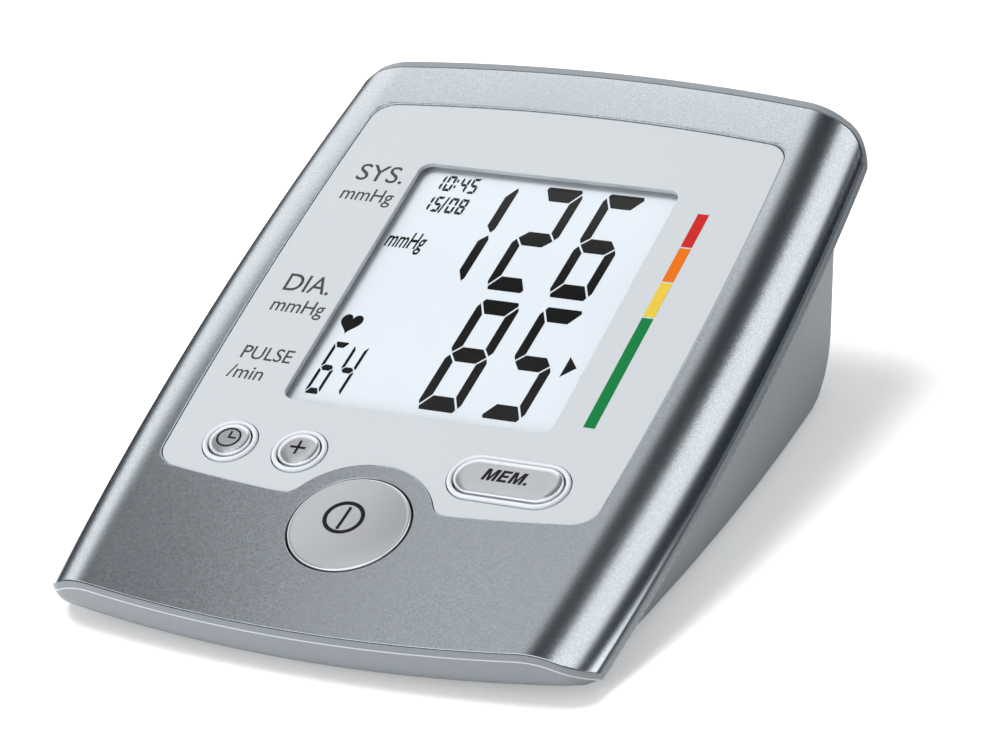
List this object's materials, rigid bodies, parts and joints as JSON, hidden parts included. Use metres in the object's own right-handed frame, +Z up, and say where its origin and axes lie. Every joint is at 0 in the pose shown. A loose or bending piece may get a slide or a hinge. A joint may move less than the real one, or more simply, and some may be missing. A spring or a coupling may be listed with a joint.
{
  "type": "blood pressure monitor",
  "caption": "Upper-arm blood pressure monitor with a tilted display panel, a round start button, small memory and clock buttons, a battery door and a socket for the cuff's hose.",
  "frame": {"origin": "middle of the footprint, on the table", "axes": "+Z up, +Y from the front edge with the start button towards the raised rear, +X to the right as the display is read"},
  "size_m": [0.121, 0.1558, 0.061],
  "materials": {
    "silver": "satin metallic, fine sparkle",
    "rim_grey": "satin",
    "base_grey": "fine matte",
    "panel": "satin, printed",
    "white": "gloss",
    "button": "satin metallic",
    "lens": "clear",
    "lcd": "pale grey with dark segments",
    "board": "solder mask",
    "black": "matte",
    "metal": "plated",
    "rubber": "matte",
    "cell": "plain sleeve",
    "natural": "natural"
  },
  "bodies": {
    "housing": {"top_cover": "silver", "mid_frame": "rim_grey", "face_panel": "panel", "display_window": "lens", "display_glass": "lcd", "display_holder": "natural", "contact_strip": "rubber", "main_board": "board", "pressure_sensor": "black", "start_switch": "black", "clock_collar": "white", "clock_switch": "black", "plus_collar": "white", "plus_switch": "black", "memory_collar": "white", "memory_switch": "black", "base_housing": "base_grey", "pump_motor": "metal", "pump_head": "black", "pump_saddle": "rubber", "release_valve": "black", "pump_hose": "natural", "socket_hose": "natural", "sensor_hose": "natural", "air_socket": "rim_grey", "case_screw_1": "metal", "battery_1": "cell", "contact_spring_1": "metal", "case_screw_2": "metal", "battery_2": "cell", "contact_spring_2": "metal", "case_screw_3": "metal", "battery_3": "cell", "contact_spring_3": "metal", "case_screw_4": "metal", "battery_4": "cell", "contact_spring_4": "metal", "contact_front_left": "metal", "contact_front_right": "metal", "contact_rear_left": "metal", "contact_rear_middle": "metal", "contact_rear_right": "metal", "foot_front_left": "rubber", "foot_front_right": "rubber", "foot_rear_left": "rubber", "foot_rear_right": "rubber"},
    "start": {"start_button": "button"},
    "clock": {"clock_button": "button"},
    "plus": {"plus_button": "button"},
    "memory": {"memory_button": "button"},
    "door": {"battery_door": "base_grey"}
  },
  "joints": [
    {"name": "start_press", "type": "slide", "parent": "housing", "child": "start", "axis": [0, 0.3123, -0.95], "range_m": [0, 0.0007], "stiffness_N_per_m": 1500, "springref_m": -0.0006},
    {"name": "clock_press", "type": "slide", "parent": "housing", "child": "clock", "axis": [0, 0.3123, -0.95], "range_m": [0, 0.0007], "stiffness_N_per_m": 1500, "springref_m": -0.0006},
    {"name": "plus_press", "type": "slide", "parent": "housing", "child": "plus", "axis": [0, 0.3123, -0.95], "range_m": [0, 0.0007], "stiffness_N_per_m": 1500, "springref_m": -0.0006},
    {"name": "memory_press", "type": "slide", "parent": "housing", "child": "memory", "axis": [0, 0.3123, -0.95], "range_m": [0, 0.0007], "stiffness_N_per_m": 1500, "springref_m": -0.0006},
    {"name": "door_hinge", "type": "hinge", "parent": "housing", "child": "door", "pos_m": [0, -0.00551, 0.0024], "axis": [-1, 0, 0], "range_deg": [0, 90]}
  ]
}
